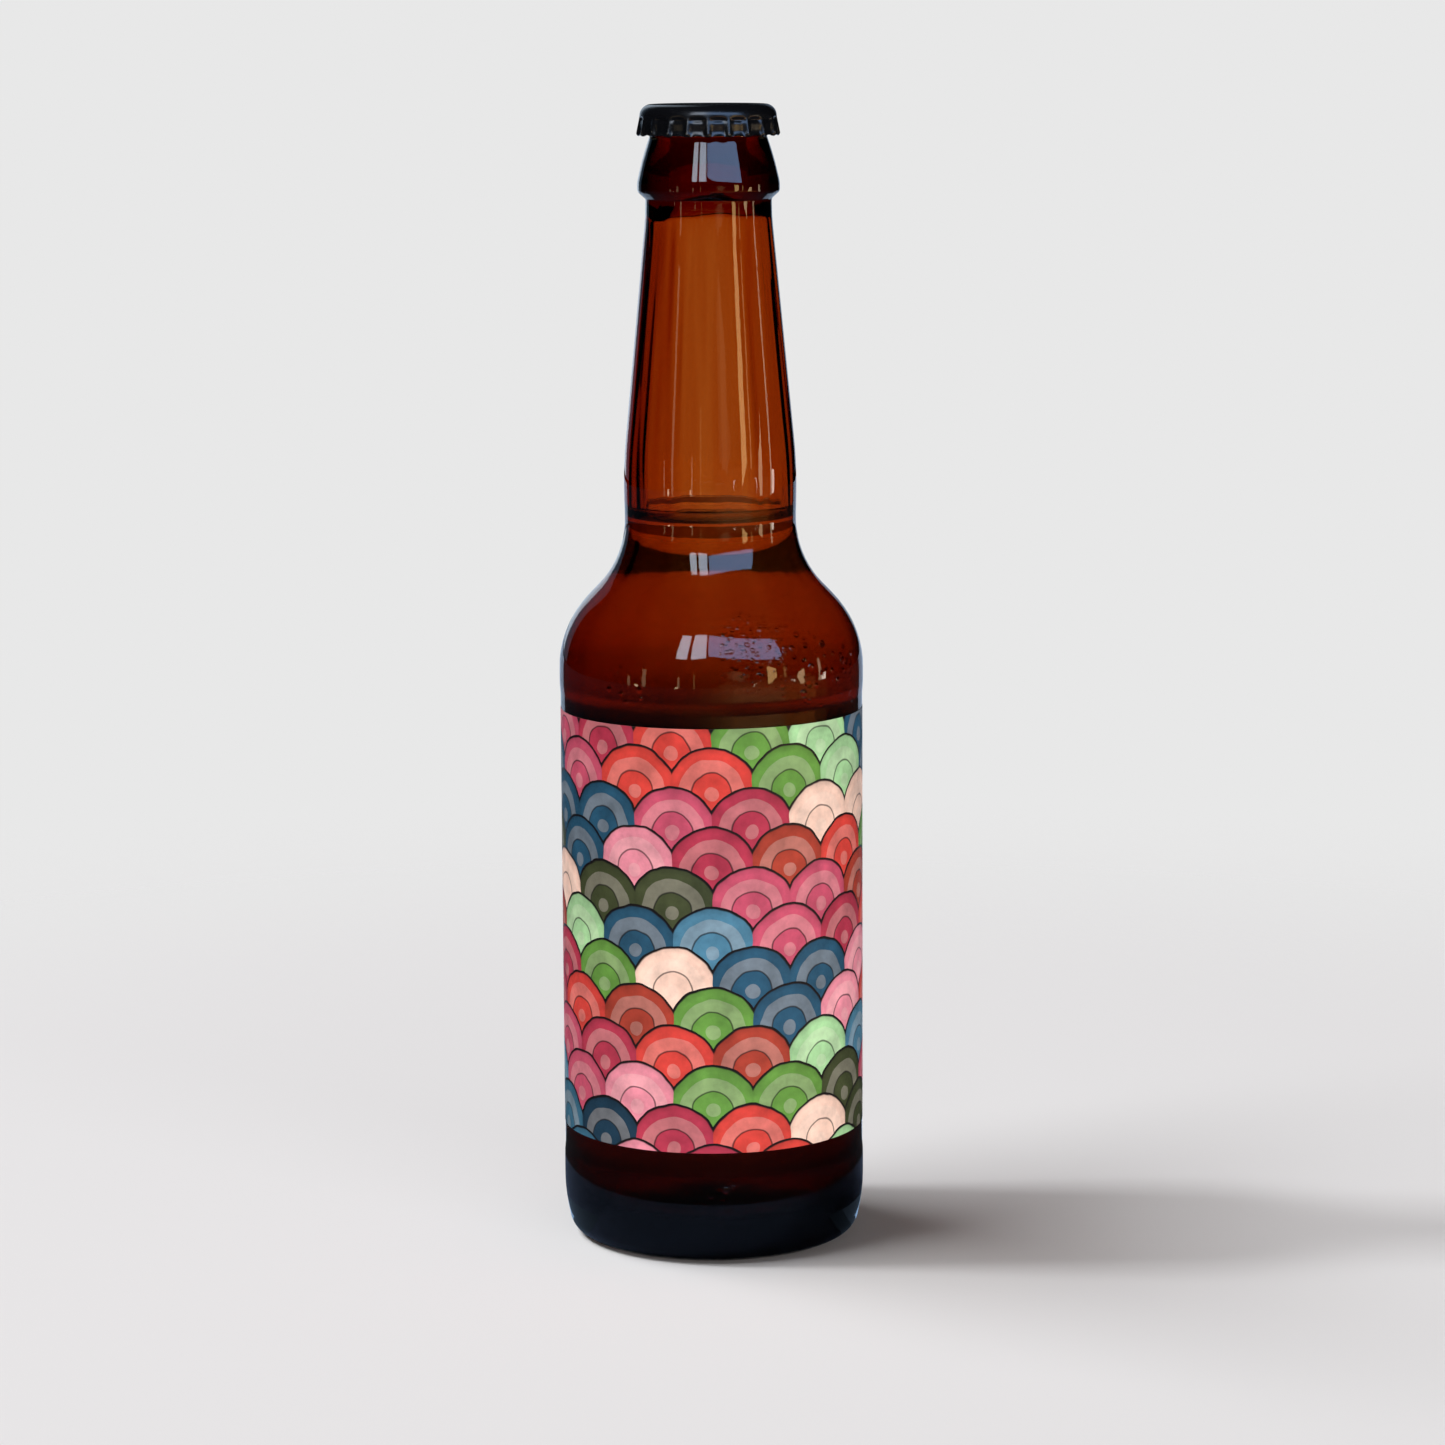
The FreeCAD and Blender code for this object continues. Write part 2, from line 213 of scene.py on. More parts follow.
# Print of the label: fish scales with their outlines, rings and washes. The row step and reach are shares
# of a scale's width, a stroke's softness is a share of its own width, and other lengths are millimetres
SCALES_ROUND = 12
SCALE_WIDTH = TURN * LABEL_RADIUS / SCALES_ROUND
SCALE_STEP = 0.5
SCALE_REACH = 0.58
OUTLINE_INK = 0.5
OUTLINE_SOFT = 0.25
OUTLINE_DARK = 1.0
RING_INK = 0.16
RING_SOFT = 0.4
RING_DARK = 0.75
RING_SPACING = 2.6
RING_TINT = 0.15
HAND_WAVE = 6.0
HAND_SWAY = 1.3
WASH_POOL = 5.0
WASH_SHADES = (0.72, 1.22)
RIM_SHADE = 0.72
RIM_WASH = 1.6
# The wash of each scale drifts along the list from row to row and twice round the bottle, with some chance
DRIFT_START = 0.05
DRIFT_PER_ROW = 0.117
DRIFT_PER_SCALE = 2 / SCALES_ROUND
DRIFT_CHANCE = 0.26
WASHES = [
    (0.0, "#22506A"),
    (0.08, "#4A7F9A"),
    (0.14, "#19384C"),
    (0.2, "#C44C66"),
    (0.3, "#E88C9C"),
    (0.38, "#B03048"),
    (0.48, "#D43E34"),
    (0.59, "#A83A28"),
    (0.67, "#F4CCB8"),
    (0.73, "#62943C"),
    (0.81, "#A2D096"),
    (0.88, "#40472A"),
    (0.95, "#35677F"),
]
# The paper's tooth and cockle, and how much smoother it is where ink lies
PAPER_TOOTH = 0.5
PAPER_COCKLE = 14.0
INK_SMOOTHER = 0.1

# Glass surface: the drawn streaks, and the dew in patches on the shoulder and heel, which thins out from a
# share of each patch's reach
CORD_WIDTH = 2.6
CORD_LENGTH = 60.0
CORD_DEPTH = 0.012
DEW_CORE = 0.5
# Each kind of dew: its spacing, its widest drop as a share of that, its depth as a share of the drop, and
# its patches on the glass as angle, radius, height and reach. The real dew is finer than the render shows,
# so it is drawn as coarse as it needs to show
DEW = [
    (1.2, 0.6, 0.25, [(17, 29, 123.5, 11)]),
    (1.9, 0.5, 0.3, [(40, 29.5, 119, 12), (62, 29.5, 117, 8), (-34, 29.8, 116, 7), (9, 30.2, 13, 9)]),
]

# Camera, worked out from the ellipses of the cap, the label and the base in the photograph
PHOTO_SIDE = 1445
FOCAL_PIXELS = 4349
SENSOR = 36.0
CAMERA_DISTANCE = 865.7
CAMERA_HEIGHT = 245.0
CAMERA_ASIDE = 2.2
CAMERA_PITCH = math.radians(9.21)
CAMERA_ROLL = math.radians(-0.31)


def linear(code):
    """An sRGB hex colour as linear red, green, blue and alpha."""
    shades = [int(code[i : i + 2], 16) / 255 for i in (1, 3, 5)]
    return [s / 12.92 if s <= 0.04045 else ((s + 0.055) / 1.055) ** 2.4 for s in shades] + [1.0]


def add(tree, kind, inputs=None, out=0, **settings):
    """Adds a node and returns one of its outputs. An input that is a socket is linked, any other is set."""
    made = tree.nodes.new(f"ShaderNode{kind}")
    for name, value in settings.items():
        setattr(made, name, value)
    for name, value in (inputs or {}).items():
        if isinstance(value, bpy.types.NodeSocket):
            tree.links.new(value, made.inputs[name])
        else:
            made.inputs[name].default_value = value
    return made.outputs[out] if made.outputs else made


def new_material(name):
    """An empty node material, with its tree."""
    material = bpy.data.materials.new(name)
    material.use_nodes = True
    material.node_tree.nodes.clear()
    return material, material.node_tree


def rounded_line(corners):
    """The line through corners (radius, height, rounding), with arcs at the rounded ones, finely divided."""
    spots = [Vector((radius, height)) for radius, height, rounding in corners]
    line = [spots[0]]
    for before, here, after, corner in zip(spots, spots[1:], spots[2:], corners[1:]):
        rounding = corner[2]
        back = (before - here).normalized()
        ahead = (after - here).normalized()
        half = back.angle(ahead) / 2
        if rounding == 0:
            line += divided(line[-1], here)
            continue
        reach = rounding / math.tan(half)
        centre = here + (back + ahead).normalized() * rounding / math.sin(half)
        line += divided(line[-1], here + back * reach)
        spoke = here + back * reach - centre
        sweep = math.pi - 2 * half
        sweep = sweep if back.cross(ahead) < 0 else -sweep
        by_angle = math.ceil(abs(sweep) / ARC_STEP)
        by_length = math.ceil(abs(sweep) * rounding / RUN_STEP)
        steps = max(2, by_angle, by_length)
        for step in range(1, steps + 1):
            turned = Matrix.Rotation(sweep * step / steps, 2) @ spoke
            line.append(centre + turned)
    return line + divided(line[-1], spots[-1])


def divided(start, end):
    """Points along a straight run, without its start."""
    steps = max(1, math.ceil((end - start).length / RUN_STEP))
    return [start.lerp(end, step / steps) for step in range(1, steps + 1)]


def round_the_axis(radius, angle, height):
    """A place at an angle from the front of the bottle, in metres."""
    return (radius * math.sin(angle) * MM, -radius * math.cos(angle) * MM, height * MM)


def mesh_object(name, places, faces, *materials):
    """A smooth mesh with its faces turned outwards."""
    mesh = bpy.data.meshes.new(name)
    mesh.from_pydata(places, [], faces)
    work = bmesh.new()
    work.from_mesh(mesh)
    bmesh.ops.recalc_face_normals(work, faces=work.faces)
    work.to_mesh(mesh)
    work.free()
    mesh.shade_smooth()
    piece = bpy.data.objects.new(name, mesh)
    bpy.context.collection.objects.link(piece)
    for material in materials:
        mesh.materials.append(material)
    return piece


def lathe(name, line, columns, shape, *materials):
    """A closed skin turned about the axis from a line whose two ends lie on it.

    shape(index, angle, radius, height) gives each place its own radius and height.
    """
    places, rings, faces = [], [], []
    for index, (radius, height) in enumerate(line):
        count = columns if radius > 0 else 1
        rings.append(range(len(places), len(places) + count))
        for column in range(count):
            angle = TURN * column / columns
            own_radius, own_height = shape(index, angle, radius, height)
            places.append(round_the_axis(own_radius, angle, own_height))
    for ring, above in zip(rings, rings[1:]):
        for column in range(columns):
            after = (column + 1) % columns
            around = [ring[column % len(ring)], ring[after % len(ring)]]
            around += [above[after % len(above)], above[column % len(above)]]
            faces.append(list(dict.fromkeys(around)))
    return mesh_object(name, places, faces, *materials)


def wall_ripple(angle, height):
    """How far the blown inside stands off its round form, in millimetres. The bore and floor are even."""
    draw = random.Random(RIPPLE_SEED)
    inside = min(height - RIPPLE_FLOOR, THROAT - height) / RIPPLE_FADE
    fade = max(0.0, min(1.0, inside))
    across = math.sin(angle)
    total = HOLLOW_DEEPER + HOLLOW_ASIDE * across - HOLLOW_OVAL * across**2
    for count, swing in RIPPLE_WAVES:
        start = draw.uniform(0, TURN)
        twist = draw.uniform(-1, 1) * RIPPLE_TWIST * math.sqrt(count)
        swell = 1 + RIPPLE_SWELL * math.sin(height / draw.uniform(*SWELL_LENGTHS) + start)
        total += swing * swell * math.cos(count * angle + start + twist * height)
    return total * fade


def throat_sag(angle, height):
    """How unevenly the neck's inside narrows to the bore, as a shift up or down in millimetres."""
    near = max(0.0, 1 - abs(height - THROAT) / THROAT_REACH)
    waves = sum(share * math.sin(count * angle + start) for count, share, start in THROAT_WAVES)
    return THROAT_SAG * near * waves


def build_glass(material):
    """The bottle: one closed skin over the outside, the rim and the inside."""
    outside = rounded_line(GLASS_OUTSIDE)
    line = outside + rounded_line(GLASS_INSIDE)

    def shape(index, angle, radius, height):
        if index >= len(outside):
            return radius + wall_ripple(angle, height), height + throat_sag(angle, height)
        on_seam = any(math.isclose(angle, seam) for seam in SEAM_ANGLES)
        if on_seam and SEAM_LOW < height < SEAM_HIGH:
            return min(radius + SEAM_PROUD, BODY_RADIUS), height
        column = round(angle / TURN * GLASS_COLUMNS)
        if height < STANDING_HEIGHT and column % 2:
            return radius, height + KNURL_DEPTH
        return radius, height

    return lathe("amber_bottle", line, GLASS_COLUMNS, shape, material)


def wall_below(height):
    """The inside of the glass from the floor's middle up to a height."""
    climb = rounded_line(GLASS_INSIDE)[::-1]
    line = []
    for low, high in zip(climb, climb[1:]):
        line.append(low)
        if high.y >= height > low.y and low.x > 0:
            line.append(low.lerp(high, (height - low.y) / (high.y - low.y)))
            break
    return line


def build_drink(material):
    """The drink up to its level, with a meniscus that climbs the glass."""
    line = wall_below(DRINK_TOP + MENISCUS_RISE)
    wall_radius = line[-1].x
    for step in range(1, MENISCUS_STEPS + 1):
        swing = math.pi / 2 * step / MENISCUS_STEPS
        away = MENISCUS_REACH * (1 - math.cos(swing))
        climb = MENISCUS_RISE * (1 - math.sin(swing))
        line.append(Vector((wall_radius - away, DRINK_TOP + climb)))
    wall_count = len(line) - MENISCUS_STEPS
    line += divided(line[-1], Vector((0, DRINK_TOP)))

    def shape(index, angle, radius, height):
        if 0 < index < wall_count:
            sink = WETTING if height < GLASS_FLOOR else 0
            return radius + wall_ripple(angle, height) + WETTING, height - sink
        return radius, height

    return lathe("bottled_drink", line, GLASS_COLUMNS, shape, material)


def build_band(name, inner, outer, seam, ripple, material):
    """A band round the label panel with its seam at the back, as a closed sheet with thickness."""
    gap = seam / BODY_RADIUS
    tall = LABEL_HIGH - LABEL_LOW
    heights = [LABEL_LOW + tall * row / LABEL_ROWS for row in range(LABEL_ROWS + 1)]
    loop = [(outer, height) for height in heights] + [(inner, height) for height in reversed(heights)]
    places, faces = [], []
    for column in range(LABEL_COLUMNS + 1):
        angle = -math.pi + gap / 2 + (TURN - gap) * column / LABEL_COLUMNS
        for radius, height in loop:
            lift = ripple
            for waves, rise in PAPER_WAVES:
                lift *= math.sin(waves * angle + rise * height)
            places.append(round_the_axis(radius + lift, angle, height))
    count = len(loop)
    for column in range(LABEL_COLUMNS):
        here, after = column * count, (column + 1) * count
        for spot in range(count):
            beside = (spot + 1) % count
            faces.append((here + spot, here + beside, after + beside, after + spot))
    faces.append(tuple(range(count)))
    faces.append(tuple(range(LABEL_COLUMNS * count, (LABEL_COLUMNS + 1) * count)))
    piece = mesh_object(name, places, faces, material)
    piece.data.set_sharp_from_angle(angle=LABEL_CREASE)
    return piece


def cap_line(inset):
    """The cap's section from the middle of its panel out and down to the skirt's edge."""
    corner = CAP_CORNER - inset
    middle = Vector((CAP_SHOULDER - CAP_CORNER, CAP_TOP - CAP_CORNER))
    line = [Vector((0, CAP_TOP - inset)), Vector((middle.x / 2, CAP_TOP - inset))]
    for step in range(CORNER_STEPS + 1):
        angle = math.pi / 2 * (1 - step / CORNER_STEPS)
        line.append(middle + Vector((math.cos(angle), math.sin(angle))) * corner)
    skirt_top = middle.y
    for step in range(1, SKIRT_STEPS + 1):
        height = skirt_top + (CAP_EDGE - skirt_top) * step / SKIRT_STEPS
        line.append(Vector((CAP_SHOULDER - inset, height)))
    return line


def flute(angle, height, inset):
    """The skirt's radius at an angle and height.

    Narrow ridges tuck in at the edge. The valleys between them flare there and end in an arch under the
    corner.
    """
    share = (height - CAP_EDGE) / (CAP_TOP - CAP_CORNER - CAP_EDGE)
    share = max(0.0, min(1.0, share))
    flare = VALLEY_FLARE * max(0.0, 1 - share / FLARE_SHARE) ** 2
    dip = VALLEY_DIP * math.exp(-(((share - DIP_SHARE) / DIP_WIDTH) ** 2))
    arch = max(0.0, share - DIP_SHARE) / (1 - DIP_SHARE)
    valley = SKIRT_VALLEY + flare - dip
    valley += (CAP_SHOULDER - valley) * arch**2
    ridge = SKIRT_CREST + (CAP_SHOULDER - SKIRT_CREST) * share
    ridge -= EDGE_TUCK * max(0.0, 1 - share / TUCK_SHARE) ** 2
    sharp = RIDGE_SHARPNESS[0] + (RIDGE_SHARPNESS[1] - RIDGE_SHARPNESS[0]) * share**2
    lift = (1 + math.cos(FLUTES * angle)) / 2
    steep = sharp * lift ** (sharp - 1)
    slope = (ridge - valley) * steep * FLUTES * math.sin(FLUTES * angle) / 2 / valley
    return valley + (ridge - valley) * lift**sharp - inset * math.hypot(1, slope)


def build_cap(outside_material, inside_material):
    """The crown: a steel shell with its flutes, lacquered outside and in."""
    outside = cap_line(0)
    line = outside + cap_line(CAP_STEEL)[::-1]
    columns = FLUTES * FLUTE_COLUMNS

    def shape(index, angle, radius, height):
        if height >= CAP_TOP - CAP_CORNER:
            return radius, height
        inset = 0 if index < len(outside) else CAP_STEEL
        share = (CAP_TOP - CAP_CORNER - height) / (CAP_TOP - CAP_CORNER - CAP_EDGE)
        scallop = EDGE_SCALLOP * share**4 * (1 - math.cos(FLUTES * angle)) / 2
        return flute(angle, height, inset), height + scallop

    cap = lathe("lacquered_crown", line, columns, shape, outside_material, inside_material)
    for face in cap.data.polygons:
        face.material_index = 1 if face.index >= len(outside) * columns else 0
    cap.data.set_sharp_from_angle(angle=CAP_CREASE)
    return cap


def plain_shape(index, angle, radius, height):
    """A round piece, just as its line is drawn."""
    return radius, height


def dew_bump(tree, place, normal, spacing, widest, depth, patches):
    """Beads of water in patches, as a bump over another normal."""
    drops = add(tree, "TexVoronoi", {"Vector": place, "Scale": 1 / (spacing * MM)}).node.outputs
    wet = 0.0
    for angle, radius, height, reach in patches:
        middle = round_the_axis(radius, math.radians(angle), height)
        away = add(tree, "VectorMath", {0: place, 1: middle}, out="Value", operation="DISTANCE")
        extent = {"Value": away, "From Min": reach * MM, "From Max": DEW_CORE * reach * MM}
        patch = add(tree, "MapRange", extent)
        wet = add(tree, "Math", {0: wet, 1: patch}, operation="MAXIMUM")
    spread = add(tree, "Math", {0: drops["Color"], 1: wet}, operation="MULTIPLY")
    spread = add(tree, "Math", {0: spread, 1: widest}, operation="MULTIPLY")
    wide = add(tree, "Math", {0: spread, 1: 2.0}, operation="POWER")
    away = add(tree, "Math", {0: drops["Distance"], 1: 2.0}, operation="POWER")
    bead = add(tree, "Math", {0: wide, 1: away}, operation="SUBTRACT")
    bead = add(tree, "Math", {0: bead, 1: 0.0}, operation="MAXIMUM")
    dome = add(tree, "Math", {0: bead, 1: 0.5}, operation="POWER")
    inputs = {"Height": dome, "Strength": 1.0, "Distance": depth * spacing * MM, "Normal": normal}
    return add(tree, "Bump", inputs)


def amber_glass():
    """Amber soda-lime glass, blown in a mould and fire-polished.

    It gives a clear brown that darkens where the glass is thick, wavy upright streaks where it was drawn
    down the mould, and a little dew on the shoulder and heel of a bottle that was chilled.
    """
    material, tree = new_material("amber_glass")
    place = add(tree, "TexCoord", out="Object")
    stretch = (1.0, 1.0, CORD_WIDTH / CORD_LENGTH)
    drawn = add(tree, "VectorMath", {0: place, 1: stretch}, operation="MULTIPLY")
    cords = add(tree, "TexNoise", {"Vector": drawn, "Scale": 1 / (CORD_WIDTH * MM), "Detail": 2.0})
    bump = add(tree, "Bump", {"Height": cords, "Strength": 1.0, "Distance": CORD_DEPTH * MM})
    for spacing, widest, depth, patches in DEW:
        bump = dew_bump(tree, place, bump, spacing, widest, depth, patches)
    surface = add(
        tree,
        "BsdfPrincipled",
        {
            "Base Color": linear("#FFFFFF"),
            "Roughness": 0.012,
            "IOR": 1.52,
            "Transmission Weight": 1.0,
            "Normal": bump,
        },
    )
    soak = add(tree, "VolumeAbsorption", {"Color": linear("#EABB38"), "Density": 1490.0})
    add(tree, "OutputMaterial", {"Surface": surface, "Volume": soak})
    return material


def brown_drink():
    """Bottle-conditioned drink, amber with a light haze below its clear top.

    It gives a red-brown glow across the width of the bottle, with soft edges on what shows through it.
    """
    material, tree = new_material("brown_drink")
    place = add(tree, "TexCoord", out="Object")
    ripple = add(tree, "TexNoise", {"Vector": place, "Scale": 1 / (SWIRL_SIZE * MM), "Detail": 1.0})
    bump = add(tree, "Bump", {"Height": ripple, "Strength": 0.3, "Distance": 0.02 * MM})
    height = add(tree, "SeparateXYZ", {0: place}, out="Z")
    haze = add(
        tree,
        "MapRange",
        {
            "Value": height,
            "From Min": (DRINK_TOP - HAZE_TOP) * MM,
            "From Max": (DRINK_TOP - HAZE_TOP - HAZE_FADE) * MM,
            "To Max": HAZE,
        },
    )
    surface = add(
        tree,
        "BsdfPrincipled",
        {
            "Base Color": linear("#FFFFFF"),
            "Roughness": haze,
            "IOR": 1.345,
            "Transmission Weight": 1.0,
            "Normal": bump,
        },
    )
    soak = add(tree, "VolumeAbsorption", {"Color": linear("#ECBA32"), "Density": 55.0})
    add(tree, "OutputMaterial", {"Surface": surface, "Volume": soak})
    return material


def scale_print(tree, place):
    """The label's drawing: rows of overlapping fish scales in washes of colour, ringed and outlined in ink.

    Returns its colour and how much ink lies at each place.
    """
    sway = {"Vector": place, "Scale": 1 / (HAND_WAVE * MM), "Detail": 2.0}
    wander = add(tree, "TexNoise", sway, out="Color")
    wander = add(tree, "VectorMath", {0: wander, 1: (0.5, 0.5, 0.5)}, operation="SUBTRACT")
    wander = add(tree, "VectorMath", {0: wander, "Scale": HAND_SWAY / SCALE_WIDTH}, operation="SCALE")
    split = add(tree, "SeparateXYZ", {0: place}).node.outputs
    behind = add(tree, "Math", {0: split["Y"], 1: -1.0}, operation="MULTIPLY")
    turn = add(tree, "Math", {0: split["X"], 1: behind}, operation="ARCTAN2")
    along = add(tree, "Math", {0: turn, 1: SCALES_ROUND / TURN}, operation="MULTIPLY")
    rise = add(tree, "Math", {0: split["Z"], 1: 1 / (SCALE_WIDTH * MM)}, operation="MULTIPLY")
    sheet = add(tree, "CombineXYZ", {"X": along, "Y": rise})
    sheet = add(tree, "VectorMath", {0: sheet, 1: wander}, operation="ADD")
    split = add(tree, "SeparateXYZ", {0: sheet}).node.outputs
    along, rise = split["X"], split["Y"]
    course = add(tree, "Math", {0: rise, 1: 1 / SCALE_STEP}, operation="MULTIPLY")
    nearest = add(tree, "Math", {0: course}, operation="ROUND")
    below = add(tree, "Math", {0: nearest, 1: 1.0}, operation="SUBTRACT")

    def scales_of(row):
        odd = add(tree, "Math", {0: row, 1: 2.0}, operation="FLOORED_MODULO")
        shifted = add(tree, "Math", {0: odd, 1: -0.5, 2: along}, operation="MULTIPLY_ADD")
        number = add(tree, "Math", {0: shifted}, operation="ROUND")
        aside = add(tree, "Math", {0: shifted, 1: number}, operation="SUBTRACT")
        above = add(tree, "Math", {0: row, 1: -SCALE_STEP, 2: rise}, operation="MULTIPLY_ADD")
        offset = add(tree, "CombineXYZ", {"X": aside, "Y": above})
        reach = add(tree, "VectorMath", {0: offset}, out="Value", operation="LENGTH")
        return reach, add(tree, "CombineXYZ", {"X": reach, "Y": number, "Z": row})

    front_reach, front = scales_of(below)
    back = scales_of(nearest)[1]
    covered = add(tree, "Math", {0: front_reach, 1: SCALE_REACH}, operation="LESS_THAN")
    scale = add(tree, "Mix", {0: covered, 4: back, 5: front}, out=1, data_type="VECTOR")
    split = add(tree, "SeparateXYZ", {0: scale}).node.outputs
    reach, number, row = split["X"], split["Y"], split["Z"]

    chance = add(tree, "CombineXYZ", {"X": number, "Y": row})
    chance = add(tree, "TexWhiteNoise", {"Vector": chance}, noise_dimensions="2D")
    drift = add(tree, "Math", {0: row, 1: DRIFT_PER_ROW, 2: DRIFT_START}, operation="MULTIPLY_ADD")
    drift = add(tree, "Math", {0: number, 1: DRIFT_PER_SCALE, 2: drift}, operation="MULTIPLY_ADD")
    drift = add(tree, "Math", {0: chance, 1: DRIFT_CHANCE, 2: drift}, operation="MULTIPLY_ADD")
    drift = add(tree, "Math", {0: drift}, operation="FRACT")
    ramp = add(tree, "ValToRGB", {"Fac": drift})
    stops = ramp.node.color_ramp
    stops.interpolation = "CONSTANT"
    for position, colour in WASHES:
        stop = stops.elements[0] if position == 0 else stops.elements.new(position)
        stop.color = linear(colour)
    stops.elements.remove(stops.elements[-1])

    inward = add(tree, "Math", {0: SCALE_REACH, 1: reach}, operation="SUBTRACT")
    inward = add(tree, "Math", {0: inward, 1: SCALE_WIDTH}, operation="MULTIPLY")
    ring = add(tree, "Math", {0: inward, 1: 1 / RING_SPACING}, operation="MULTIPLY")
    parity = add(tree, "Math", {0: ring}, operation="FLOOR")
    parity = add(tree, "Math", {0: parity, 1: 2.0}, operation="FLOORED_MODULO")
    tint = add(tree, "Math", {0: parity, 1: RING_TINT}, operation="MULTIPLY")
    washed = add(tree, "Mix", {0: tint, 6: ramp, 7: linear("#F3E6D8")}, out=2, data_type="RGBA")

    pools = {"Vector": place, "Scale": 1 / (WASH_POOL * MM), "Detail": 5.0, "Roughness": 0.6}
    pool = add(tree, "TexNoise", pools)
    shades = {"From Min": 0.3, "From Max": 0.7, "To Min": WASH_SHADES[0], "To Max": WASH_SHADES[1]}
    shade = add(tree, "MapRange", {"Value": pool, **shades})
    edge = {"From Max": RIM_WASH, "To Min": RIM_SHADE, "To Max": 1.0}
    at_rim = add(tree, "MapRange", {"Value": inward, **edge})
    shade = add(tree, "Math", {0: shade, 1: at_rim}, operation="MULTIPLY")
    washed = add(tree, "VectorMath", {0: washed, "Scale": shade}, operation="SCALE")

    nearest_ring = add(tree, "Math", {0: ring, 1: 1.0}, operation="PINGPONG")
    ring_gap = add(tree, "Math", {0: nearest_ring, 1: RING_SPACING}, operation="MULTIPLY")
    ink = 0.0
    rings = (ring_gap, RING_INK, RING_SOFT, RING_DARK)
    outlines = (inward, OUTLINE_INK, OUTLINE_SOFT, OUTLINE_DARK)
    for gap, width, soft, dark in (rings, outlines):
        blur = {"From Min": width * (1 - soft), "From Max": width * (1 + soft)}
        stroke = add(tree, "MapRange", {"Value": gap, **blur, "To Min": dark, "To Max": 0.0})
        ink = add(tree, "Math", {0: ink, 1: stroke}, operation="MAXIMUM")
    return add(tree, "Mix", {0: ink, 6: washed, 7: linear("#161214")}, out=2, data_type="RGBA"), ink


def printed_paper():
    """Coated paper, offset printed and varnished: a soft sheen over a faint tooth, duller off the ink."""
    material, tree = new_material("printed_paper")
    place = add(tree, "TexCoord", out="Object")
    colour, ink = scale_print(tree, place)
    tooth = add(tree, "TexNoise", {"Vector": place, "Scale": 1 / (PAPER_TOOTH * MM), "Detail": 3.0})
    cockle = add(tree, "TexNoise", {"Vector": place, "Scale": 1 / (PAPER_COCKLE * MM), "Detail": 1.0})
    tooth_bump = add(tree, "Bump", {"Height": tooth, "Strength": 0.5, "Distance": 0.03 * MM})
    waves = {"Height": cockle, "Strength": 0.5, "Distance": 0.12 * MM, "Normal": tooth_bump}
    bump = add(tree, "Bump", waves)
    sheen = {"From Min": 0.3, "From Max": 0.7, "To Min": 0.42, "To Max": 0.56}
    dull = add(tree, "MapRange", {"Value": tooth, **sheen})
    dull = add(tree, "Math", {0: ink, 1: -INK_SMOOTHER, 2: dull}, operation="MULTIPLY_ADD")
    surface = add(
        tree,
        "BsdfPrincipled",
        {"Base Color": colour, "Roughness": dull, "IOR": 1.45, "Normal": bump},
    )
    add(tree, "OutputMaterial", {"Surface": surface})
    return material


def label_glue():
    """Dried casein glue, brushed on: a dull cream film, cloudy, and palest along its thick upper edge."""
    material, tree = new_material("label_glue")
    place = add(tree, "TexCoord", out="Object")
    clouds = add(tree, "TexNoise", {"Vector": place, "Scale": 1 / (GLUE_CLOUD * MM), "Detail": 4.0})
    colour = add(tree, "ValToRGB", {"Fac": clouds})
    colour.node.color_ramp.elements[0].color = linear("#4F473A")
    colour.node.color_ramp.elements[1].color = linear("#8C8068")
    height = add(tree, "SeparateXYZ", {0: place}, out="Z")
    thick = add(
        tree,
        "MapRange",
        {
            "Value": height,
            "From Min": (LABEL_HIGH - GLUE_EDGE) * MM,
            "From Max": (LABEL_HIGH - GLUE_EDGE / 4) * MM,
            "To Min": 1.0,
            "To Max": GLUE_PALER,
        },
    )
    colour = add(tree, "VectorMath", {0: colour, "Scale": thick}, operation="SCALE")
    surface = add(tree, "BsdfPrincipled", {"Base Color": colour, "Roughness": 0.6})
    add(tree, "OutputMaterial", {"Surface": surface})
    return material


def black_lacquer():
    """Stove lacquer on tinplate: hard black gloss, a faint orange peel, scuffed to the tin on the crests."""
    material, tree = new_material("black_lacquer")
    place = add(tree, "TexCoord", out="Object")
    peel = add(tree, "TexNoise", {"Vector": place, "Scale": 1 / (PEEL_SIZE * MM), "Detail": 2.0})
    bump = add(tree, "Bump", {"Height": peel, "Strength": 0.25, "Distance": 0.02 * MM})
    split = add(tree, "SeparateXYZ", {0: place}).node.outputs
    flat = add(tree, "CombineXYZ", {"X": split["X"], "Y": split["Y"]})
    out_from_axis = add(tree, "VectorMath", {0: flat}, out="Value", operation="LENGTH")
    crest = add(
        tree,
        "MapRange",
        {"Value": out_from_axis, "From Min": (SKIRT_CREST - CREST_WEAR) * MM, "From Max": SKIRT_CREST * MM},
    )
    marks = {"Vector": place, "Scale": 1 / (NICK_SIZE * MM), "Detail": 6.0, "Roughness": 0.7}
    nicks = add(tree, "TexNoise", marks)
    worn = add(tree, "MapRange", {"Value": nicks, "From Min": 0.56, "From Max": 0.64})
    scuff = add(tree, "Math", {0: worn, 1: crest}, operation="MULTIPLY")
    film = add(tree, "MapRange", {"Value": peel, "To Min": 0.2, "To Max": 0.3})
    rough = add(tree, "Math", {0: scuff, 1: SCUFF_ROUGHER, 2: film}, operation="MULTIPLY_ADD")
    colours = {0: scuff, 6: linear("#0B0C0F"), 7: linear("#8F8A80")}
    colour = add(tree, "Mix", colours, out=2, data_type="RGBA")
    surface = add(
        tree,
        "BsdfPrincipled",
        {"Base Color": colour, "Metallic": scuff, "Roughness": rough, "IOR": 1.52, "Normal": bump},
    )
    add(tree, "OutputMaterial", {"Surface": surface})
    return material


